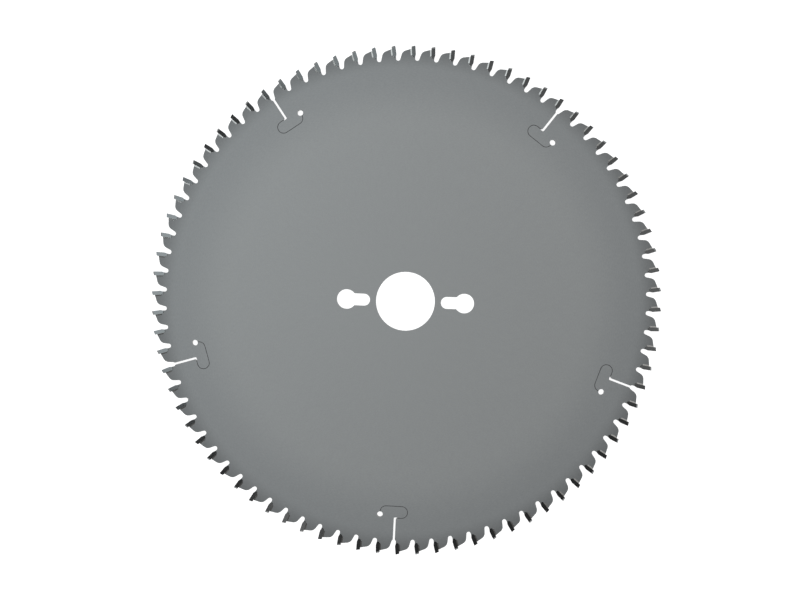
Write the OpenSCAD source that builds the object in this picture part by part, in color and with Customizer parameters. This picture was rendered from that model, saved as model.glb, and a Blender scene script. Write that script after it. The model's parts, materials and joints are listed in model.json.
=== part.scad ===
// Carbide tipped circular saw blade, lying flat.
// The origin is the centre of the bore at half the plate's thickness, and +Z is the arbor's axis.
// Seen from +Z the teeth point clockwise. Tooth 0 and one of the two drive holes lie on +X.

/* [Blade] */
// Diameter over the high tips
blade_d = 260; // [245:1:300]
// Number of teeth, always even
tooth_count = 80; // [72:2:86]
// Thickness of the steel plate
plate_t = 2.2; // [1.8:0.1:2.4]
// Width of cut, over the tips' side corners
kerf = 2.8; // [2.7:0.1:3.4]

/* [Teeth] */
// Hook angle of the cutting face, negative when its corner leans back
hook_angle = -6; // [-8:1:0]
// Lean of the tooth's back, from the radius
back_angle = 13.3; // [11:0.1:15]
// Fall of the tooth's land, from the tangent
land_angle = 19; // [15:1:22]
// How far the land lies below the tip's corner, down the tip's back
land_drop = 1.6; // [1.2:0.1:2]
// Radius of the round shoulder between land and back
shoulder_r = 3; // [1.5:0.1:3.5]
// Radius of the gullet's floor
gullet_r = 1.1; // [0.9:0.05:1.3]
// Depth of the gullet, from the high tips
gullet_depth = 7.9; // [7.6:0.1:9]
// How far the gullet's middle lies ahead of the tip's corner
gullet_lead = 1.24; // [1.1:0.02:1.5]

/* [Carbide tips] */
// Thickness of a tip, from face to back
tip_t = 2; // [1.6:0.1:2.3]
// Length of a tip, down its face
tip_len = 5.9; // [5:0.1:6.1]
// Fall of the tip's top, from the tangent
top_relief = 17.5; // [14:0.5:20]
// Narrowing of the tip towards the bore, on each side
radial_relief = 1.2; // [0.5:0.1:1.5]
// Narrowing of the tip towards its back, on each side
side_relief = 2.5; // [1:0.1:3]
// Radius of the tip's lower back corner
tip_corner_r = 0.9; // [0.4:0.05:1.1]
// Height of the slant at the foot of the face
toe_h = 1.4; // [0.8:0.1:2]
// Depth of the slant at the foot of the face
toe_in = 0.5; // [0.4:0.05:0.6]
// Width of the slanting corners of a high tip
chamfer = 0.85; // [0.5:0.05:1]
// How far a flat tip stands below a high one
flat_step = 0.18; // [0.1:0.01:0.4]

/* [Braze] */
// Thickness of the braze between tip and plate
seam_t = 0.12; // [0.08:0.01:0.2]
// Width of the fillet on the plate's face
fillet_w = 0.5; // [0.2:0.01:0.6]
// Height of the fillet on the tip
fillet_h = 0.08; // [0.03:0.01:0.1]

/* [Arbor] */
// Diameter of the bore
bore_d = 30; // [20:0.5:31]
// Diameter of the outer end of a drive hole
drive_d = 10; // [8:0.1:11]
// Diameter of the pitch circle of the drive holes' outer ends
drive_pcd = 60; // [56:0.5:70]
// Width of the narrow part of a drive hole
drive_slot_w = 6.1; // [5:0.1:7]
// Diameter of the pitch circle of the drive holes' inner ends
drive_slot_pcd = 42.2; // [41:0.1:46]

/* [Expansion slots] */
// Number of slots round the rim
slot_count = 5; // [3:1:6]
// Number of the first slot's tooth
slot_tooth = 4; // [0:1:11]
// Width of a slot
slot_w = 1.05; // [0.8:0.05:1.4]
// Depth of a slot, from the high tips
slot_depth = 19.25; // [16:0.25:24]
// Reach of the foot at the slot's end
foot_reach = 1.15; // [0.9:0.05:1.6]
// Height of the foot at the slot's end
foot_h = 0.6; // [0.4:0.05:0.8]
// Width of the fine line that runs on from the foot
line_w = 0.22; // [0.12:0.02:0.3]
// Radius of the line's bends
line_bend_r = 3.03; // [2.5:0.01:3.6]
// Middle of the line's first bend, from the slot
line_turn = 3.36; // [3:0.02:4.5]
// Length of the line's straight run
line_run = 8.05; // [7.5:0.05:11]
// Diameter of the round hole at the line's end
end_hole_d = 2.9; // [2:0.1:4]
// How far the line's dark filler lies below each face of the plate
filler_sunk = 0.05; // [0:0.01:0.2]

/* [Hidden] */
$fn = 72;
braze_groups = 10;
pair_count = tooth_count / 2;
overrun = plate_t / 4;
outer_r = blade_d / 2;
pitch_angle = 360 / tooth_count;
// Tooth 0 is drawn at twelve o'clock, and its place is at three
start_angle = 90;
shoulder_steps = 4;
seat_steps = 4;
gullet_steps = 8;
line_steps = 12;
tip_corner = [0, outer_r];
tip_back_dir = [-cos(hook_angle), sin(hook_angle)];
tip_down_dir = [-sin(hook_angle), -cos(hook_angle)];
// Slope of the tip's top against the square of its face
top_slope = tan(top_relief + hook_angle);
// The fillet ends where the land would cut it off
land_slope = tan(land_angle + hook_angle);
seam_top = land_drop + (seam_t + fillet_w) * land_slope;
gullet_mid = [gullet_lead, outer_r - gullet_depth + gullet_r];
gullet_angle = atan2(gullet_mid[0], gullet_mid[1]);

function numbered(name, i) = str(name, i < 10 ? "0" : "", i);
PAIRS = [for (i = [1:pair_count]) numbered("tip_pair_", i)];
BRAZES = [for (i = [1:braze_groups]) numbered("braze_seams_", i)];
FILLERS = [for (i = [1:slot_count]) numbered("line_filler_", i)];

// Plane geometry

function unit(v) = v / norm(v);
function turned(p, a) = [p[0] * cos(a) - p[1] * sin(a), p[0] * sin(a) + p[1] * cos(a)];
function arc(mid, r, from, to, steps) =
    [for (i = [0:steps]) let (a = from + (to - from) * i / steps) mid + r * [cos(a), sin(a)]];

// Where the line from p along u crosses the line from q along v
function crossing(p, u, q, v) = p + u * cross(q - p, v) / cross(u, v);

// A round corner at b. Outer points lie just outside the true arc, so that what has this radius fits in
function bend(a, b, c, r, steps, outer = false) =
    let (
        u = unit(a - b),
        v = unit(c - b),
        half = acos(u * v) / 2,
        mid = b + unit(u + v) * r / sin(half),
        start = b + u * r / tan(half) - mid,
        from = atan2(start[1], start[0]),
        turn = sign(cross(b - a, c - b)) * (180 - 2 * half),
        half_step = turn / steps / 2
    )
    outer
        ? arc(mid, r / cos(half_step), from + half_step, from + turn - half_step, steps - 1)
        : arc(mid, r, from, from + turn, steps);

// A point given by its distance behind the tip's face and its distance down it
function behind(back, down) = tip_corner + back * tip_back_dir + down * tip_down_dir;

// Outline of the plate

// One tooth at twelve o'clock, from the gullet on its left to the far side of the gullet on its right
function tooth_outline() =
    let (
        back_foot = turned(gullet_mid, pitch_angle) + gullet_r * [cos(back_angle), -sin(back_angle)],
        seat_back = tip_t + seam_t,
        seat_down = tip_len + seam_t,
        land = behind(tip_t, land_drop),
        land_dir = [cos(land_angle), sin(land_angle)],
        shoulder = crossing(land, land_dir, back_foot, [sin(back_angle), cos(back_angle)]),
        seat_top = crossing(land, land_dir, behind(seat_back, 0), tip_down_dir),
        seat_corner = behind(seat_back, seat_down),
        front_wall = gullet_mid - [gullet_r, 0],
        seat_front = crossing(front_wall, [0, 1], seat_corner, tip_back_dir)
    )
    concat(
        bend(back_foot, shoulder, seat_top, shoulder_r, shoulder_steps),
        [seat_top],
        bend(seat_top, seat_corner, seat_front, tip_corner_r + seam_t, seat_steps, true),
        [seat_front],
        arc(gullet_mid, gullet_r, 180, 360 - back_angle - pitch_angle, gullet_steps)
    );

function plate_outline() =
    let (tooth = tooth_outline())
    [for (k = [0:tooth_count - 1]) for (p = tooth) turned(p, -start_angle - k * pitch_angle)];

// Turns what is drawn at twelve o'clock to its place
module clockwise(a) rotate([0, 0, -start_angle - a]) children();

// Turns what is drawn from the tip's corner, with x to the tip's back and y down its face
module at_tip(k)
    clockwise(k * pitch_angle)
        translate(tip_corner) rotate([0, 0, 180 - hook_angle]) children();

// Blade body

// Turns what is drawn at twelve o'clock to the gullet of slot i
module at_slot(i)
    clockwise(round(slot_tooth + i * tooth_count / slot_count) * pitch_angle + gullet_angle) children();

// Open slot from the gullet, which turns left into a foot at its end
module slot_profile() {
    side = slot_w / 2;
    floor_y = outer_r - slot_depth;
    foot_top = floor_y + foot_h;
    polygon(concat(
        [[side, gullet_mid[1]], [-side, gullet_mid[1]]],
        bend([-side, gullet_mid[1]], [-side, foot_top], [-foot_reach, foot_top], foot_reach - side, seat_steps),
        [[-foot_reach, floor_y]],
        bend([-foot_reach, floor_y], [side, floor_y], [side, gullet_mid[1]], foot_h, seat_steps)
    ));
}

// Middles of the line's two bends, and of the round hole at its end
line_y = outer_r - slot_depth + foot_h / 2;
first_bend = [-line_turn, line_y - line_bend_r];
last_bend = first_bend + [line_run, 0];
end_hole = last_bend + [line_bend_r, end_hole_d / 2];

// Fine line from the foot, round to the left and back, up into the round hole
module line_profile() {
    half = line_w / 2;
    outer_bend = line_bend_r + half;
    inner_bend = line_bend_r - half;
    polygon(concat(
        [[half - foot_reach, line_y + half]],
        arc(first_bend, outer_bend, 90, 270, line_steps),
        arc(last_bend, outer_bend, 270, 360, line_steps / 2),
        [end_hole + [half, 0], end_hole - [half, 0]],
        arc(last_bend, inner_bend, 360, 270, line_steps / 2),
        arc(first_bend, inner_bend, 270, 90, line_steps),
        [[half - foot_reach, line_y - half]]
    ));
}

module end_hole_profile() translate(end_hole) circle(d = end_hole_d);

// Round hole for the drive pin, open inwards into a narrower slot with a round end
module drive_hole() {
    inner = drive_slot_pcd / 2;
    outer = drive_pcd / 2;
    translate([outer, 0]) circle(d = drive_d);
    translate([inner, 0]) circle(d = drive_slot_w);
    translate([inner, -drive_slot_w / 2]) square([outer - inner, drive_slot_w]);
}

module blade_body() {
    color("#85898b") linear_extrude(plate_t, center = true) difference() {
        polygon(plate_outline());
        circle(d = bore_d);
        for (side = [0, 180]) rotate(side) drive_hole();
        for (i = [0:slot_count - 1]) at_slot(i) {
            slot_profile();
            line_profile();
            end_hole_profile();
        }
    }
}

// The dark filler in slot i's fine line
module line_filler(i) {
    color("#2b2c2d") linear_extrude(plate_t - 2 * filler_sunk, center = true)
        at_slot(i - 1) difference() {
            line_profile();
            slot_profile();
            end_hole_profile();
        }
}

// Carbide tips

module tip_profile(top) {
    polygon(concat(
        [[0, top], [tip_t, top + tip_t * top_slope]],
        bend([tip_t, top], [tip_t, tip_len], [0, tip_len], tip_corner_r, seat_steps),
        [[toe_in, tip_len], [0, tip_len - toe_h]]
    ));
}

// What the grinding wheel takes off both sides, so that only the top corners of the face cut
module side_grinding() {
    for (side = [0, 1])
        mirror([0, 0, side])
            translate([0, 0, kerf / 2]) rotate([-radial_relief, side_relief, 0])
                translate([-overrun, -overrun, 0])
                    cube([tip_t + 2 * overrun, tip_len + 2 * overrun, kerf]);
}

// The two slanting corners of a high tip, which lie along its top
module corner_grinding() {
    for (side = [0, 1])
        mirror([0, 0, side])
            rotate([0, 0, top_relief + hook_angle])
                translate([-overrun, 0, kerf / 2 - chamfer]) rotate([45, 0, 0])
                    translate([0, -overrun, 0]) cube([tip_t + 2 * overrun, kerf, kerf]);
}

module tip(k, high) {
    color(high ? "#55585b" : "#4b4e51")
        at_tip(k) difference() {
            linear_extrude(kerf, center = true) tip_profile(high ? 0 : flat_step);
            side_grinding();
            if (high) corner_grinding();
        }
}

// A flat tip and the high tip after it, which repeat round the rim
module tip_pair(i) {
    tip(2 * i - 2, false);
    tip(2 * i - 1, true);
}

// Braze

// Section of a seam: the layer in the seat and the fillet on both faces, outwards from the tip
module seam_section() {
    face = plate_t / 2;
    polygon([
        [0, face + fillet_h], [0, -face - fillet_h],
        [seam_t + fillet_w, -face], [seam_t, -face],
        [seam_t, face], [seam_t + fillet_w, face]
    ]);
}

// One seam: down the tip's back, round its corner and under it
module seam(k) {
    corner = [tip_t - tip_corner_r, tip_len - tip_corner_r];
    color("#c9cccd") at_tip(k) {
        translate([tip_t, corner[1], 0]) rotate([90, 0, 0])
            linear_extrude(corner[1] - seam_top) seam_section();
        translate(corner) rotate_extrude(angle = 90) translate([tip_corner_r, 0]) seam_section();
        translate([toe_in, tip_len, 0]) rotate([90, 0, 90])
            linear_extrude(corner[0] - toe_in) seam_section();
    }
}

module braze_seams(i) {
    for (k = [0:tooth_count - 1]) if (floor(k * braze_groups / tooth_count) == i - 1) seam(k);
}

blade_body();
for (i = [1:pair_count]) tip_pair(i);
for (i = [1:braze_groups]) braze_seams(i);
for (i = [1:slot_count]) line_filler(i);
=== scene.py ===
"""Looks of a carbide tipped circular saw blade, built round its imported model.

The blade lies flat. Its bore's axis is Z, and seen from above the teeth point clockwise.
"""

import json
import logging
from dataclasses import dataclass, field
from enum import Enum
from math import pi, radians

import bmesh
import bpy
from mathutils import Matrix, Vector, kdtree


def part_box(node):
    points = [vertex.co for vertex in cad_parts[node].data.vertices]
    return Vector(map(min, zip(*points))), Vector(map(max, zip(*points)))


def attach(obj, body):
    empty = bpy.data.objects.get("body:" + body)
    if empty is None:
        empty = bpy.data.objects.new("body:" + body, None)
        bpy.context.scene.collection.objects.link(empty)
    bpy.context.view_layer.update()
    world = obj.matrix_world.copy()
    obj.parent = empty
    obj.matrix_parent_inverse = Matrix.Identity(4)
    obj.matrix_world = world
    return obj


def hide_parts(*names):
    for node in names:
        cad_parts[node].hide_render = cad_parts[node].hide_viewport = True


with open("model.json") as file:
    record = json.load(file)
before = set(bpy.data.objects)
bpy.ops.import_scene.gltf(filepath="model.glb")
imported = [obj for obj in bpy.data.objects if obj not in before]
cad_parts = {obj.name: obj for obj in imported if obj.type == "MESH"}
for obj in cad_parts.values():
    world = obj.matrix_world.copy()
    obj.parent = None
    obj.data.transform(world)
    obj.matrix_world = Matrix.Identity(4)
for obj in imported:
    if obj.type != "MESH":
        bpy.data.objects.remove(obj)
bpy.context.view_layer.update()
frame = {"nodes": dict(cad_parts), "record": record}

LOG = logging.getLogger("saw_blade")
MM = 0.001
ROOT = "root"
BODY_NODE = "blade_body"
TIP_PREFIX = "tip_pair"
BRAZE_PREFIX = "braze_seams"
LINE_PREFIX = "line_filler"
FULL_TURN = 360.0
# Tooth 0 is drawn at twelve o'clock, and its place is at three
START_TURN = 90.0

# Sockets of the mix node for its two colours and their mix, which share their names with others
MIX_FIRST, MIX_SECOND, MIX_RESULT = 6, 7, 2
# A noise texture's values lie round this one
NOISE_MIDDLE = 0.5
WHITE = (1.0, 1.0, 1.0)
LEVEL = (0.0, 0.0, 0.0)

Triple = tuple[float, float, float]
Colour = Triple


class Slot(Enum):
    """Material slots of the record."""

    PLATE = "plate_steel"
    CARBIDE = "carbide"
    BRAZE = "braze"
    RESIN_AND_SHADE = "line_resin"


class Wall(Enum):
    """Kinds of surface on the plate, in the order of its material slots."""

    FACE = 0
    CUT = 1
    BORE = 2
    LINE = 3


def numbered_nodes(prefix: str) -> list[str]:
    """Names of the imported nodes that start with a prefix.

    Args:
        prefix: Start of the names.

    Returns:
        The names in order.
    """
    return sorted(name for name in frame["nodes"] if name.startswith(prefix))


@dataclass(frozen=True)
class BladeSizes:
    """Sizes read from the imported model, in metres."""

    outer_radius: float
    bore_radius: float
    plate_half: float
    tip_half: float
    tooth_count: int

    @classmethod
    def from_frame(cls) -> "BladeSizes":
        """Reads the sizes from the nodes and the bore mount.

        Returns:
            The sizes.
        """
        pairs = numbered_nodes(TIP_PREFIX)
        corners = [v.co for name in pairs for v in frame["nodes"][name].data.vertices]
        bore = next(m for m in frame["record"]["mounts"] if m["name"] == "bore")
        return cls(
            outer_radius=max(corner.xy.length for corner in corners),
            bore_radius=bore["dims"]["r_mm"] * MM,
            plate_half=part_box(BODY_NODE)[1].z,
            tip_half=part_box(pairs[0])[1].z,
            tooth_count=2 * len(pairs),
        )


def deselect_all() -> None:
    """Leaves edit mode and deselects every object."""
    if bpy.context.object and bpy.context.object.mode != "OBJECT":
        bpy.ops.object.mode_set(mode="OBJECT")
    bpy.ops.object.select_all(action="DESELECT")


def edit_only(obj: bpy.types.Object, select: str = "SELECT") -> None:
    """Opens one object in edit mode.

    Args:
        obj: The object to edit.
        select: SELECT or DESELECT, for all that it holds.
    """
    deselect_all()
    bpy.context.view_layer.objects.active = obj
    obj.select_set(True)
    bpy.ops.object.mode_set(mode="EDIT")
    bpy.ops.mesh.select_all(action=select)


def close_edit(obj: bpy.types.Object) -> None:
    """Recalculates an object's normals outwards and leaves edit mode."""
    bpy.ops.mesh.select_all(action="SELECT")
    bpy.ops.mesh.normals_make_consistent(inside=False)
    bpy.ops.object.mode_set(mode="OBJECT")
    obj.data.update()


def smooth_by_angle(obj: bpy.types.Object, angle: float) -> None:
    """Shades an object smooth, apart from edges over an angle in degrees."""
    deselect_all()
    bpy.context.view_layer.objects.active = obj
    obj.select_set(True)
    bpy.ops.object.shade_smooth_by_angle(angle=radians(angle))


def apply_modifiers(obj: bpy.types.Object) -> None:
    """Applies every modifier of an object, in order."""
    deselect_all()
    bpy.context.view_layer.objects.active = obj
    obj.select_set(True)
    for modifier in list(obj.modifiers):
        bpy.ops.object.modifier_apply(modifier=modifier.name)


def register(obj: bpy.types.Object, slot: Slot, *nodes: str) -> None:
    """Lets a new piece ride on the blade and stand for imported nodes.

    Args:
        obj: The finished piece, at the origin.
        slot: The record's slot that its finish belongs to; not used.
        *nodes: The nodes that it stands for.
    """
    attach(obj, ROOT)
    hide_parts(*nodes)
    LOG.info("piece %s, %d faces, stands for %s", obj.name, len(obj.data.polygons), ", ".join(nodes))


class NodeCanvas:
    """A node tree with short ways to add and join nodes."""

    def __init__(self, tree: bpy.types.NodeTree) -> None:
        """Keeps the tree to draw in."""
        self.tree = tree

    def add(self, kind: str, **settings: object) -> bpy.types.Node:
        """Adds a node.

        Args:
            kind: Blender's name of the node's type.
            **settings: Values of the node's own properties.

        Returns:
            The new node.
        """
        node = self.tree.nodes.new(kind)
        for name, value in settings.items():
            setattr(node, name, value)
        return node

    def put(self, target: bpy.types.NodeSocket, source: object) -> None:
        """Joins a socket to an input, or sets the input's value."""
        if isinstance(source, bpy.types.NodeSocket):
            self.tree.links.new(source, target)
        else:
            target.default_value = source

    def math(self, operation: str, *values: object) -> bpy.types.NodeSocket:
        """Adds a sum.

        Args:
            operation: Blender's name of the operation.
            *values: Numbers or sockets.

        Returns:
            The result's socket.
        """
        node = self.add("ShaderNodeMath", operation=operation)
        for target, value in zip(node.inputs, values):
            self.put(target, value)
        return node.outputs[0]

    def vector(self, operation: str, *values: object) -> bpy.types.Node:
        """Adds a vector sum and returns its node."""
        node = self.add("ShaderNodeVectorMath", operation=operation)
        for target, value in zip(node.inputs, values):
            self.put(target, value)
        return node

    def between(
        self, value: object, low: float, high: float, to_low: float, to_high: float
    ) -> bpy.types.NodeSocket:
        """Maps a value smoothly from one range to another.

        Args:
            value: Number or socket.
            low: Start of the range it has.
            high: End of the range it has.
            to_low: Start of the range it gets.
            to_high: End of the range it gets.

        Returns:
            The result's socket.
        """
        node = self.add("ShaderNodeMapRange", interpolation_type="SMOOTHSTEP")
        for target, source in zip(node.inputs, (value, low, high, to_low, to_high)):
            self.put(target, source)
        return node.outputs[0]

    def mix(self, share: object, first: object, second: object) -> bpy.types.NodeSocket:
        """Mixes two colours.

        Args:
            share: Share of the second colour.
            first: Colour or socket.
            second: Colour or socket.

        Returns:
            The mixed colour's socket.
        """
        node = self.add("ShaderNodeMix", data_type="RGBA", blend_type="MIX")
        self.put(node.inputs["Factor"], share)
        self.put(node.inputs[MIX_FIRST], first)
        self.put(node.inputs[MIX_SECOND], second)
        return node.outputs[MIX_RESULT]


class SharedEffects:
    """Shader node groups that more than one finish uses."""

    streak_detail: float = 3.0
    streak_roughness: float = 0.6
    spot_detail: float = 2.0

    def __init__(self, rim_radius: float) -> None:
        """Builds each group once.

        Args:
            rim_radius: Radius at which a length round the blade is true.
        """
        self.rim_radius = rim_radius
        self.polar = self._polar_place()
        self.streaks = self._grinding_streaks()
        self.mottle = self._mottle()

    @staticmethod
    def _group(name: str, inputs: dict[str, tuple[str, float]], outputs: dict[str, str]) -> NodeCanvas:
        """Starts a node group.

        Args:
            name: The group's name.
            inputs: Names with their socket type and start value.
            outputs: Names with their socket type.

        Returns:
            A canvas on the group, with the input and output nodes in it.
        """
        tree = bpy.data.node_groups.new(name, "ShaderNodeTree")
        for label, (kind, start) in inputs.items():
            socket = tree.interface.new_socket(label, in_out="INPUT", socket_type=kind)
            if kind == "NodeSocketFloat":
                socket.default_value = start
        for label, kind in outputs.items():
            tree.interface.new_socket(label, in_out="OUTPUT", socket_type=kind)
        canvas = NodeCanvas(tree)
        canvas.add("NodeGroupInput", name="in")
        canvas.add("NodeGroupOutput", name="out")
        return canvas

    def _polar_place(self) -> bpy.types.NodeTree:
        """Place on the blade as millimetres round the rim, outwards and up.

        Returns:
            The group.
        """
        canvas = self._group(
            "polar_place",
            {"Place": ("NodeSocketVector", 0.0), "Rim Radius": ("NodeSocketFloat", self.rim_radius)},
            {"Round And Out": "NodeSocketVector", "Radius": "NodeSocketFloat"},
        )
        given, result = canvas.tree.nodes["in"].outputs, canvas.tree.nodes["out"].inputs
        split = canvas.add("ShaderNodeSeparateXYZ")
        canvas.put(split.inputs[0], given["Place"])
        angle = canvas.math("ARCTAN2", split.outputs["Y"], split.outputs["X"])
        flat = canvas.vector("MULTIPLY", given["Place"], (1.0, 1.0, 0.0))
        radius = canvas.vector("LENGTH", flat.outputs[0]).outputs["Value"]
        joined = canvas.add("ShaderNodeCombineXYZ")
        canvas.put(joined.inputs["X"], canvas.math("MULTIPLY", angle, given["Rim Radius"]))
        canvas.put(joined.inputs["Y"], radius)
        canvas.put(joined.inputs["Z"], split.outputs["Z"])
        in_mm = canvas.vector("SCALE", joined.outputs[0])
        canvas.put(in_mm.inputs["Scale"], 1 / MM)
        canvas.put(result["Round And Out"], in_mm.outputs[0])
        canvas.put(result["Radius"], canvas.math("DIVIDE", radius, MM))
        return canvas.tree

    def _grinding_streaks(self) -> bpy.types.NodeTree:
        """Fine streaks, drawn out along one direction by the lengths given.

        Returns:
            The group.
        """
        canvas = self._group(
            "grinding_streaks",
            {
                "Place": ("NodeSocketVector", 0.0),
                "Stretch": ("NodeSocketVector", 0.0),
                "Fineness": ("NodeSocketFloat", 1.0),
            },
            {"Height": "NodeSocketFloat"},
        )
        given, result = canvas.tree.nodes["in"].outputs, canvas.tree.nodes["out"].inputs
        drawn = canvas.vector("DIVIDE", given["Place"], given["Stretch"])
        noise = canvas.add("ShaderNodeTexNoise")
        canvas.put(noise.inputs["Vector"], drawn.outputs[0])
        canvas.put(noise.inputs["Scale"], given["Fineness"])
        canvas.put(noise.inputs["Detail"], self.streak_detail)
        canvas.put(noise.inputs["Roughness"], self.streak_roughness)
        canvas.put(result["Height"], noise.outputs["Fac"])
        return canvas.tree

    def _mottle(self) -> bpy.types.NodeTree:
        """Soft spots of a given size, as values round zero.

        Returns:
            The group.
        """
        canvas = self._group(
            "mottle",
            {"Place": ("NodeSocketVector", 0.0), "Spot Size": ("NodeSocketFloat", 1.0)},
            {"Value": "NodeSocketFloat"},
        )
        given, result = canvas.tree.nodes["in"].outputs, canvas.tree.nodes["out"].inputs
        noise = canvas.add("ShaderNodeTexNoise")
        canvas.put(noise.inputs["Vector"], given["Place"])
        canvas.put(noise.inputs["Scale"], canvas.math("DIVIDE", 1.0, given["Spot Size"]))
        canvas.put(noise.inputs["Detail"], self.spot_detail)
        canvas.put(result["Value"], canvas.math("SUBTRACT", noise.outputs["Fac"], NOISE_MIDDLE))
        return canvas.tree


class Surface:
    """A material that a finish draws in, with the shared effects at hand."""

    def __init__(self, name: str, effects: SharedEffects) -> None:
        """Starts the material.

        Args:
            name: Name of the material.
            effects: The shared node groups.
        """
        self.material = bpy.data.materials.new(name)
        self.material.use_nodes = True
        self.canvas = NodeCanvas(self.material.node_tree)
        self.shader = self.material.node_tree.nodes["Principled BSDF"]
        self.effects = effects
        self.place = self.canvas.add("ShaderNodeTexCoord").outputs["Object"]
        polar = self.effect(effects.polar, {"Place": self.place, "Rim Radius": effects.rim_radius})
        self.round_and_out = polar.outputs["Round And Out"]
        self.radius = polar.outputs["Radius"]

    def effect(self, group: bpy.types.NodeTree, values: dict[str, object]) -> bpy.types.Node:
        """Places a shared effect.

        Args:
            group: The effect's node group.
            values: Its inputs, by name.

        Returns:
            The group's node.
        """
        node = self.canvas.add("ShaderNodeGroup", node_tree=group)
        for name, value in values.items():
            self.canvas.put(node.inputs[name], value)
        return node

    def streaks(self, stretch: Triple) -> bpy.types.NodeSocket:
        """Adds streaks from 0 to 1, of the lengths given round, out and up in millimetres."""
        values = {"Place": self.round_and_out, "Stretch": stretch, "Fineness": 1.0}
        return self.effect(self.effects.streaks, values).outputs["Height"]

    def spots(self, size: float) -> bpy.types.NodeSocket:
        """Adds spots of a size in millimetres, with values round zero."""
        values = {"Place": self.round_and_out, "Spot Size": size}
        return self.effect(self.effects.mottle, values).outputs["Value"]

    def set(self, **values: object) -> None:
        """Sets the shader's inputs, named with underscores for spaces."""
        for name, value in values.items():
            self.canvas.put(self.shader.inputs[name.replace("_", " ").title()], value)

    def bump(self, height: bpy.types.NodeSocket, depth: float, strength: float) -> None:
        """Raises the surface by a height.

        Args:
            height: Socket with values from 0 to 1.
            depth: Depth of the relief, in metres.
            strength: Share of the relief that shows.
        """
        node = self.canvas.add("ShaderNodeBump")
        self.canvas.put(node.inputs["Strength"], strength)
        self.canvas.put(node.inputs["Distance"], depth)
        self.canvas.put(node.inputs["Height"], height)
        self.canvas.put(self.shader.inputs["Normal"], node.outputs["Normal"])


def opaque(colour: Colour) -> tuple[float, float, float, float]:
    """The colour with full opacity."""
    return (*colour, 1.0)


@dataclass(frozen=True)
class SatinSteel:
    """Finely ground steel of the plate's faces, darker towards the rim and darker again on the teeth.

    The radii and the lengths of the grain are in millimetres.
    """

    colour: Colour = (0.33, 0.341, 0.342)
    rim_colour: Colour = (0.284, 0.296, 0.3)
    rim_from: float = 88.0
    rim_to: float = 118.0
    tooth_shade: float = 0.68
    tooth_from: float = 117.0
    tooth_to: float = 128.0
    metallic: float = 0.45
    roughness: float = 0.45
    grain_stretch: Triple = (1.6, 0.35, 1.0)
    grain_contrast: float = 0.3
    spot_size: float = 4.0
    spot_contrast: float = 0.06
    relief: float = 0.004 * MM

    def material(self, effects: SharedEffects) -> bpy.types.Material:
        """Builds the finish.

        Args:
            effects: The shared node groups.

        Returns:
            The material.
        """
        surface = Surface("satin_steel", effects)
        canvas = surface.canvas
        grain = surface.streaks(self.grain_stretch)
        spots = surface.spots(self.spot_size)
        rim = canvas.between(surface.radius, self.rim_from, self.rim_to, 0.0, 1.0)
        colour = canvas.mix(rim, opaque(self.colour), opaque(self.rim_colour))
        change = canvas.math("SUBTRACT", grain, NOISE_MIDDLE)
        change = canvas.math("MULTIPLY_ADD", change, self.grain_contrast, 1.0)
        change = canvas.math("MULTIPLY_ADD", spots, self.spot_contrast, change)
        shade = canvas.between(surface.radius, self.tooth_from, self.tooth_to, 1.0, self.tooth_shade)
        change = canvas.math("MULTIPLY", change, shade)
        scaled = canvas.vector("SCALE", colour)
        canvas.put(scaled.inputs["Scale"], change)
        surface.set(base_color=scaled.outputs[0], metallic=self.metallic)
        surface.set(roughness=canvas.math("MULTIPLY_ADD", spots, self.spot_contrast, self.roughness))
        surface.bump(grain, self.relief, 1.0)
        return surface.material


@dataclass(frozen=True)
class StreakedMetal:
    """A metal with fine straight marks, each drawn out by the lengths given in millimetres."""

    name: str
    low: Colour
    high: Colour
    metallic: float
    roughness: float
    stretch: Triple
    relief: float
    relief_share: float

    def material(self, effects: SharedEffects) -> bpy.types.Material:
        """Builds the finish.

        Args:
            effects: The shared node groups.

        Returns:
            The material.
        """
        surface = Surface(self.name, effects)
        marks = surface.streaks(self.stretch)
        colour = surface.canvas.mix(marks, opaque(self.low), opaque(self.high))
        surface.set(base_color=colour, metallic=self.metallic, roughness=self.roughness)
        surface.bump(marks, self.relief, self.relief_share)
        return surface.material


@dataclass(frozen=True)
class SpottedSkin:
    """A skin with soft spots of the size given in millimetres: set solder, and the near-black oxide and
    resin of the fine lines that paint their shade.
    """

    name: str
    low: Colour
    high: Colour
    metallic: float
    roughness: float
    spot_size: float
    roughness_change: float = 0.0
    relief: float = 0.0
    relief_share: float = 0.0

    def material(self, effects: SharedEffects) -> bpy.types.Material:
        """Builds the finish.

        Args:
            effects: The shared node groups.

        Returns:
            The material.
        """
        surface = Surface(self.name, effects)
        canvas = surface.canvas
        spots = surface.spots(self.spot_size)
        share = canvas.math("ADD", spots, NOISE_MIDDLE)
        roughness = canvas.math("MULTIPLY_ADD", spots, self.roughness_change, self.roughness)
        colour = canvas.mix(share, opaque(self.low), opaque(self.high))
        surface.set(base_color=colour, metallic=self.metallic, roughness=roughness)
        if self.relief > 0.0:
            surface.bump(share, self.relief, self.relief_share)
        return surface.material


# Walls that a laser cut, with lines across the plate's thickness
LASER_CUT = StreakedMetal(
    name="laser_cut_steel",
    low=(0.16, 0.158, 0.155),
    high=(0.3, 0.3, 0.295),
    metallic=0.7,
    roughness=0.42,
    stretch=(0.12, 0.12, 3.0),
    relief=0.02 * MM,
    relief_share=0.6,
)
# Smooth turned wall of the bore, with rings round it
HONED = StreakedMetal(
    name="honed_steel",
    low=(0.3, 0.3, 0.3),
    high=(0.4, 0.4, 0.4),
    metallic=1.0,
    roughness=0.28,
    stretch=(30.0, 30.0, 0.08),
    relief=0.005 * MM,
    relief_share=0.5,
)
# Dark tungsten carbide with the marks of the grinding wheel
CARBIDE = StreakedMetal(
    name="ground_carbide",
    low=(0.14, 0.145, 0.145),
    high=(0.175, 0.18, 0.18),
    metallic=1.0,
    roughness=0.11,
    stretch=(2.5, 0.05, 0.6),
    relief=0.0015 * MM,
    relief_share=0.5,
)
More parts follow.
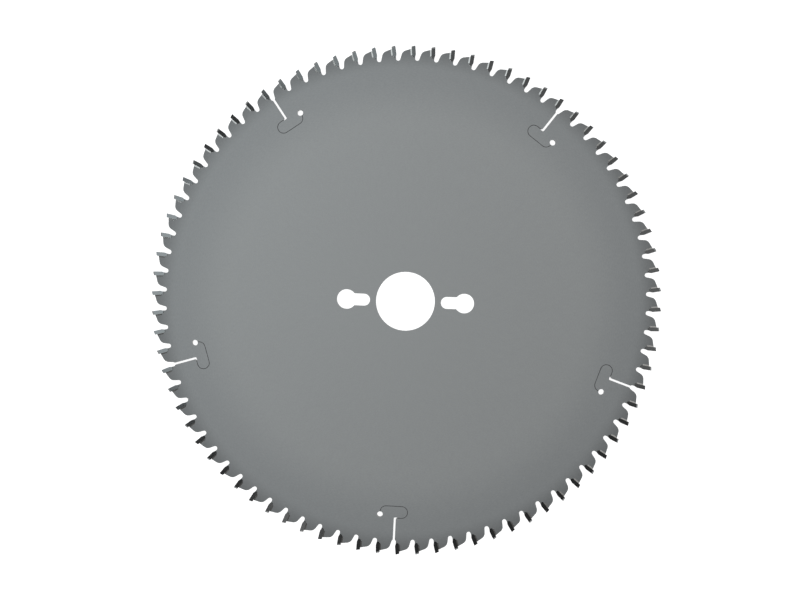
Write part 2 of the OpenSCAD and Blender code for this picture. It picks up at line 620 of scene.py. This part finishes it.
# Dark oxide on the walls and broken edges of the fine laser lines, made near black as painted shade of the
# narrow cuts
LINE_OXIDE_AND_SHADE = SpottedSkin(
    name="line_oxide_and_shade",
    low=(0.02, 0.02, 0.021),
    high=(0.05, 0.048, 0.045),
    metallic=0.2,
    roughness=0.6,
    spot_size=0.4,
)
# Silver solder that has run and set
BRAZE = SpottedSkin(
    name="melted_braze",
    low=(0.46, 0.45, 0.43),
    high=(0.62, 0.615, 0.6),
    metallic=1.0,
    roughness=0.18,
    spot_size=0.5,
    roughness_change=0.1,
    relief=0.01 * MM,
    relief_share=0.4,
)
# Resin filler in the fine lines, near black as painted shade of the narrow cuts, which keeps the white
# floor from showing through them
RESIN_AND_SHADE = SpottedSkin(
    name="line_resin",
    low=(0.022, 0.022, 0.023),
    high=(0.05, 0.05, 0.05),
    metallic=0.0,
    roughness=0.6,
    spot_size=0.3,
    relief=0.01 * MM,
    relief_share=0.5,
)


@dataclass
class BladeBody:
    """The steel plate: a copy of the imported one, with broken edges and a finish for each kind of wall.

    The angles are in degrees. The slopes are the share of a face's normal that points up or down.
    """

    sizes: BladeSizes
    edge_break: float = 0.04 * MM
    line_break: float = 0.045 * MM
    weld: float = 0.004 * MM
    level: float = 0.01 * MM
    line_margin: float = 0.13 * MM
    flat_angle: float = 0.4
    sharp_angle: float = 30.0
    smooth_angle: float = 26.0
    flat_slope: float = 0.99
    steep_slope: float = 0.5

    def __post_init__(self) -> None:
        """Finds the fine lines once."""
        self.finder = self._line_finder()

    def build(self, finishes: dict[Wall, bpy.types.Material]) -> bpy.types.Object:
        """Models and dresses the plate.

        Args:
            finishes: The material of each kind of wall.

        Returns:
            The plate.
        """
        node = frame["nodes"][BODY_NODE]
        body = bpy.data.objects.new("blade_plate", node.data.copy())
        bpy.context.scene.collection.objects.link(body)
        self._merge(body)
        # The fine lines' edges are broken wider, and their bevels take the near-black line finish, which
        # widens the painted shade of the cuts
        self._break_edges(body, self.line_break, lines=True)
        self._break_edges(body, self.edge_break, lines=False)
        self._dress(body, finishes)
        smooth_by_angle(body, self.smooth_angle)
        register(body, Slot.PLATE, BODY_NODE)
        return body

    def _merge(self, body: bpy.types.Object) -> None:
        """Welds the copy's loose triangles and joins the flat ones."""
        edit_only(body)
        bpy.ops.mesh.remove_doubles(threshold=self.weld)
        bpy.ops.mesh.dissolve_limited(angle_limit=radians(self.flat_angle))
        close_edit(body)

    def _line_finder(self) -> kdtree.KDTree:
        """Gathers the fine lines' corners, seen from above.

        Returns:
            A tree that finds the nearest corner.
        """
        fillers = [frame["nodes"][name].data for name in numbered_nodes(LINE_PREFIX)]
        corners = [vertex.co.xy.to_3d() for filler in fillers for vertex in filler.vertices]
        finder = kdtree.KDTree(len(corners))
        for index, corner in enumerate(corners):
            finder.insert(corner, index)
        finder.balance()
        return finder

    def _on_line(self, place: Vector) -> bool:
        """Tells whether a place on the plate is next to a fine line."""
        _, _, distance = self.finder.find(place.xy.to_3d())
        return distance < self.line_margin

    def _on_face(self, place: Vector) -> bool:
        """Tells whether a place lies on the plate's upper or lower face."""
        return abs(abs(place.z) - self.sizes.plate_half) < self.level

    def _break_edges(self, body: bpy.types.Object, width: float, lines: bool) -> None:
        """Bevels the edges of both faces.

        Args:
            body: The plate.
            width: Width of the bevel.
            lines: Whether to bevel the edges of the fine lines, or all others.
        """
        edit_only(body, "DESELECT")
        bpy.ops.mesh.select_mode(type="EDGE")
        mesh = bmesh.from_edit_mesh(body.data)
        for edge in mesh.edges:
            flat = all(self._on_face(v.co) for v in edge.verts)
            turned = len(edge.link_faces) == 2 and edge.calc_face_angle() > radians(self.sharp_angle)
            edge.select_set(flat and turned and all(self._on_line(v.co) for v in edge.verts) == lines)
        bmesh.update_edit_mesh(body.data)
        bpy.ops.mesh.bevel(offset=width, segments=1, affect="EDGES", clamp_overlap=False)
        close_edit(body)

    def _wall(self, body: bpy.types.Object, face: bpy.types.MeshPolygon) -> Wall:
        """Tells the kind of surface that a face belongs to.

        Args:
            body: The plate.
            face: A face of the plate.

        Returns:
            Its kind.
        """
        slope = abs(face.normal.z)
        corners = [body.data.vertices[index].co for index in face.vertices]
        # Sloped faces next to a fine line get the near-black line finish: oxide of the cut, darkened as
        # painted shade
        if slope < self.flat_slope and all(self._on_line(corner) for corner in corners):
            return Wall.LINE
        if slope > self.steep_slope:
            return Wall.FACE
        in_bore = face.center.xy.length < self.sizes.bore_radius + self.edge_break
        return Wall.BORE if in_bore else Wall.CUT

    def _dress(self, body: bpy.types.Object, finishes: dict[Wall, bpy.types.Material]) -> None:
        """Gives each face the finish of its kind.

        Args:
            body: The plate.
            finishes: The material of each kind of wall.
        """
        body.data.materials.clear()
        for wall in Wall:
            body.data.materials.append(finishes[wall])
        for face in body.data.polygons:
            face.material_index = self._wall(body, face).value


@dataclass(frozen=True)
class PackedPieces:
    """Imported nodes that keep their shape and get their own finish."""

    prefix: str

    def dress(self, finish: bpy.types.Material) -> None:
        """Gives every node its finish."""
        for name in numbered_nodes(self.prefix):
            for slot in frame["nodes"][name].material_slots:
                slot.material = finish
            LOG.info("packed %s dressed", name)


@dataclass
class BrazeSeams:
    """The seams behind and under the tips, with hollow fillets on both faces."""

    sizes: BladeSizes
    hook_angle: float = -6.0
    tip_thickness: float = 2.0 * MM
    tip_length: float = 5.9 * MM
    corner_radius: float = 0.9 * MM
    toe_in: float = 0.5 * MM
    seam: float = 0.12 * MM
    fillet_width: float = 0.5 * MM
    fillet_height: float = 0.1 * MM
    fillet_hollow: float = 1.05
    weld: float = 0.0012 * MM
    foot_spread: float = 1.15
    top: float = 1.745 * MM
    ripple: float = 0.015 * MM
    ripple_size: float = 0.7 * MM
    smooth_angle: float = 50.0
    fillet_steps: int = 5
    back_steps: int = 5
    corner_steps: int = 8
    foot_steps: int = 2

    def build(self, finish: bpy.types.Material) -> list[bpy.types.Object]:
        """Models one seam and copies it behind every tip.

        Args:
            finish: The braze's material.

        Returns:
            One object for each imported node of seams.
        """
        pattern = self._one_seam()
        nodes = numbered_nodes(BRAZE_PREFIX)
        pieces = [self._group(pattern, node, index, len(nodes), finish) for index, node in enumerate(nodes)]
        bpy.data.objects.remove(pattern)
        return pieces

    def _section(self) -> list[Vector]:
        """Outline of a seam's section.

        Returns:
            Points with the distance from the tip in x and the height in z.
        """
        face = self.sizes.plate_half
        reach = self.seam + self.fillet_width
        upper = []
        for step in range(self.fillet_steps):
            share = step / (self.fillet_steps - 1)
            height = self.fillet_height * (1 - share) ** self.fillet_hollow
            upper.append(Vector((reach * share, 0.0, face + height)))
        lower = [Vector((point.x, 0.0, -point.z)) for point in reversed(upper)]
        inner = Vector((self.seam, 0.0, face))
        return [*upper, inner, Vector((self.seam, 0.0, -face)), *lower]

    def _one_seam(self) -> bpy.types.Object:
        """Sweeps the section down the tip's back, round its corner and under it.

        Returns:
            The seam, with x to the tip's back and y down its face.
        """
        section = self._section()
        deselect_all()
        bpy.ops.mesh.primitive_circle_add(vertices=len(section), radius=self.seam, fill_type="NGON")
        seam = bpy.context.object
        for vertex, point in zip(seam.data.vertices, section):
            vertex.co = point + Vector((self.tip_thickness, self.top, 0.0))
        edit_only(seam)
        bpy.ops.mesh.select_mode(type="FACE")
        bpy.ops.mesh.select_all(action="SELECT")
        back = (self.tip_length - self.corner_radius - self.top) / self.back_steps
        self._extrude((0.0, back, 0.0), self.back_steps)
        bpy.ops.mesh.spin(
            steps=self.corner_steps,
            angle=pi / 2,
            center=(self.tip_thickness - self.corner_radius, self.tip_length - self.corner_radius, 0.0),
            axis=(0.0, 0.0, 1.0),
        )
        under = (self.tip_thickness - self.corner_radius - self.toe_in) / self.foot_steps
        self._extrude((-under, 0.0, 0.0), self.foot_steps)
        bpy.ops.mesh.select_all(action="SELECT")
        bpy.ops.mesh.remove_doubles(threshold=self.weld)
        close_edit(seam)
        foot = self.tip_length + self.seam
        for vertex in seam.data.vertices:
            vertex.co.y += max(0.0, vertex.co.y - foot) * (self.foot_spread - 1.0)
        return seam

    def _extrude(self, step: tuple[float, float, float], count: int) -> None:
        """Draws the selected face out in equal steps.

        Args:
            step: Length and direction of one step.
            count: Number of steps.
        """
        for _ in range(count):
            bpy.ops.mesh.extrude_region_move(TRANSFORM_OT_translate={"value": step})

    def _place(self, tooth: int) -> Matrix:
        """Turns a seam from the tip's own frame to its place.

        Args:
            tooth: Number of the tooth, clockwise from +X.

        Returns:
            The matrix.
        """
        turn = radians(-START_TURN - tooth * FULL_TURN / self.sizes.tooth_count)
        corner = Matrix.Translation((0.0, self.sizes.outer_radius, 0.0))
        lean = Matrix.Rotation(radians(FULL_TURN / 2 - self.hook_angle), 4, "Z")
        return Matrix.Rotation(turn, 4, "Z") @ corner @ lean

    def _group(
        self, pattern: bpy.types.Object, node: str, index: int, groups: int, finish: bpy.types.Material
    ) -> bpy.types.Object:
        """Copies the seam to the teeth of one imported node.

        Args:
            pattern: The seam to copy.
            node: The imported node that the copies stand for.
            index: Number of the node, from 0.
            groups: Number of such nodes.
            finish: The braze's material.

        Returns:
            The joined copies.
        """
        teeth = self.sizes.tooth_count // groups
        copies = []
        for tooth in range(index * teeth, (index + 1) * teeth):
            mesh = pattern.data.copy()
            mesh.transform(self._place(tooth))
            copy = bpy.data.objects.new(f"{node}_fillets", mesh)
            bpy.context.scene.collection.objects.link(copy)
            copies.append(copy)
        deselect_all()
        for copy in copies:
            copy.select_set(True)
        bpy.context.view_layer.objects.active = copies[0]
        bpy.ops.object.join()
        piece = copies[0]
        self._ripple(piece)
        piece.data.materials.clear()
        piece.data.materials.append(finish)
        smooth_by_angle(piece, self.smooth_angle)
        register(piece, Slot.BRAZE, node)
        return piece

    def _ripple(self, piece: bpy.types.Object) -> None:
        """Makes the set surface a little uneven, each seam in its own way."""
        clouds = bpy.data.textures.get("set_solder") or bpy.data.textures.new("set_solder", "CLOUDS")
        clouds.noise_scale = self.ripple_size
        ripple = piece.modifiers.new("ripple", "DISPLACE")
        ripple.texture = clouds
        ripple.texture_coords = "LOCAL"
        ripple.strength = self.ripple
        ripple.mid_level = NOISE_MIDDLE
        apply_modifiers(piece)


@dataclass(frozen=True)
class Softbox:
    """A rectangular soft lamp that faces straight down."""

    name: str
    place: Triple
    width: float
    height: float
    brightness: float
    colour: Colour

    def build(self) -> bpy.types.Object:
        """Places the lamp, with the power that gives its brightness.

        Returns:
            The lamp.
        """
        data = bpy.data.lights.new(self.name, "AREA")
        data.shape = "RECTANGLE"
        data.size = self.width
        data.size_y = self.height
        data.energy = self.brightness * pi * self.width * self.height
        data.color = self.colour
        lamp = bpy.data.objects.new(self.name, data)
        lamp.location = self.place
        lamp.visible_camera = False
        bpy.context.scene.collection.objects.link(lamp)
        return lamp


@dataclass(frozen=True)
class Card:
    """A dull card that shows in the metal only and casts no shadow."""

    name: str
    place: Triple
    turn_degrees: Triple
    width: float
    height: float
    glow: float

    def build(self) -> bpy.types.Object:
        """Places the card.

        Returns:
            The card.
        """
        deselect_all()
        bpy.ops.mesh.primitive_plane_add(size=1.0, location=self.place)
        card = bpy.context.object
        card.name = self.name
        card.scale = (self.width, self.height, 1.0)
        card.rotation_euler = [radians(angle) for angle in self.turn_degrees]
        card.visible_camera = False
        card.visible_diffuse = False
        card.visible_shadow = False
        material = bpy.data.materials.new(self.name)
        material.use_nodes = True
        material.node_tree.nodes.clear()
        canvas = NodeCanvas(material.node_tree)
        glow = canvas.add("ShaderNodeEmission")
        canvas.put(glow.inputs["Strength"], self.glow)
        canvas.put(canvas.add("ShaderNodeOutputMaterial").inputs["Surface"], glow.outputs[0])
        card.data.materials.append(material)
        return card


@dataclass
class Studio:
    """White floor and room, two soft lamps on the left, and dim cards on the other sides and overhead."""

    sizes: BladeSizes
    floor_size: float = 8.0
    floor_glow: float = 0.85
    floor_colour: Colour = (0.6, 0.6, 0.6)
    room_glow: float = 0.85
    lamps: list[Softbox] = field(
        default_factory=lambda: [
            Softbox("lamp_lower_left", (-0.3, -0.092, 1.0), 0.36, 0.214, 1.85, (0.89, 0.965, 1.0)),
            Softbox("lamp_upper_left", (-0.44, 0.47, 1.0), 0.68, 0.66, 1.24, (0.89, 0.97, 1.0)),
        ]
    )
    cards: list[Card] = field(
        default_factory=lambda: [
            Card("card_overhead", (0.0, 0.0, 1.6), LEVEL, 3.8, 3.8, 0.12),
            Card("card_top", (0.05, 0.44, 1.2), LEVEL, 0.3, 0.93, 0.42),
            Card("card_upper_right", (0.55, 0.44, 1.2), LEVEL, 0.7, 0.93, 0.62),
            Card("card_strip", (-0.05, -0.27, 1.1), LEVEL, 0.06, 0.3, 0.9),
            Card("card_right", (1.9, 0.0, 0.8), (0.0, 90.0, 0.0), 1.6, 3.8, 0.03),
            Card("card_front", (0.0, -1.9, 0.8), (90.0, 0.0, 0.0), 3.8, 1.6, 0.03),
            Card("card_back", (0.0, 1.9, 0.8), (90.0, 0.0, 0.0), 3.8, 1.6, 0.4),
        ]
    )

    def build(self) -> None:
        """Builds the room, its lamps and its cards."""
        self._floor()
        self._room()
        for light in (*self.lamps, *self.cards):
            light.build()
            LOG.info("studio %s", light.name)

    def _background(self, canvas: NodeCanvas) -> bpy.types.NodeSocket:
        """Tells the rays that see the background from those that light the blade.

        Args:
            canvas: The tree that needs it.

        Returns:
            A socket that is 1 where the background is seen, also in metal or glass.
        """
        path = canvas.add("ShaderNodeLightPath").outputs
        seen = canvas.math("MAXIMUM", path["Is Camera Ray"], path["Is Glossy Ray"])
        return canvas.math("MAXIMUM", seen, path["Is Transmission Ray"])

    def _floor(self) -> None:
        """White floor that keeps the blade's shadow."""
        deselect_all()
        bpy.ops.mesh.primitive_plane_add(size=self.floor_size, location=(0.0, 0.0, -self.sizes.tip_half))
        floor = bpy.context.object
        floor.name = "floor"
        material = bpy.data.materials.new("white_floor")
        material.use_nodes = True
        material.node_tree.nodes.clear()
        canvas = NodeCanvas(material.node_tree)
        glow = canvas.add("ShaderNodeEmission")
        strength = canvas.math("MULTIPLY", self._background(canvas), self.floor_glow)
        canvas.put(glow.inputs["Strength"], strength)
        lit = canvas.add("ShaderNodeBsdfDiffuse")
        canvas.put(lit.inputs["Color"], opaque(self.floor_colour))
        both = canvas.add("ShaderNodeAddShader")
        canvas.put(both.inputs[0], glow.outputs[0])
        canvas.put(both.inputs[1], lit.outputs[0])
        canvas.put(canvas.add("ShaderNodeOutputMaterial").inputs["Surface"], both.outputs[0])
        floor.data.materials.append(material)

    def _room(self) -> None:
        """White room, a little dimmer as a light than as it is seen."""
        world = bpy.data.worlds.new("white_room")
        bpy.context.scene.world = world
        world.use_nodes = True
        canvas = NodeCanvas(world.node_tree)
        background = world.node_tree.nodes["Background"]
        canvas.put(background.inputs["Color"], opaque(WHITE))
        rest = 1.0 - self.room_glow
        strength = canvas.math("MULTIPLY_ADD", self._background(canvas), rest, self.room_glow)
        canvas.put(background.inputs["Strength"], strength)


@dataclass(frozen=True)
class PhotoCamera:
    """Camera over the blade, as the photograph was taken."""

    place: Triple = (0.01201, 0.01917, 0.7)
    turn_degrees: Triple = (-1.477, 1.27, 2.221)
    lens: float = 61.78
    sensor: float = 36.0

    def build(self) -> bpy.types.Object:
        """Places the camera and makes it the scene's own.

        Returns:
            The camera.
        """
        data = bpy.data.cameras.new("photo_camera")
        data.lens = self.lens
        data.sensor_width = self.sensor
        camera = bpy.data.objects.new("photo_camera", data)
        camera.location = self.place
        camera.rotation_euler = [radians(angle) for angle in self.turn_degrees]
        bpy.context.scene.collection.objects.link(camera)
        bpy.context.scene.camera = camera
        return camera


def main() -> None:
    """Builds the camera, the blade's pieces and the studio."""
    logging.basicConfig(level=logging.INFO, format="%(message)s")
    sizes = BladeSizes.from_frame()
    PhotoCamera().build()
    effects = SharedEffects(sizes.outer_radius)
    finishes = {Wall.FACE: SatinSteel(), Wall.CUT: LASER_CUT, Wall.BORE: HONED, Wall.LINE: LINE_OXIDE_AND_SHADE}
    BladeBody(sizes).build({wall: finish.material(effects) for wall, finish in finishes.items()})
    PackedPieces(TIP_PREFIX).dress(CARBIDE.material(effects))
    BrazeSeams(sizes).build(BRAZE.material(effects))
    # The line fillers' near-black resin is painted shade of the narrow cuts
    PackedPieces(LINE_PREFIX).dress(RESIN_AND_SHADE.material(effects))
    Studio(sizes).build()
    bpy.context.scene.view_settings.view_transform = "Standard"


if __name__ == "__main__":
    main()
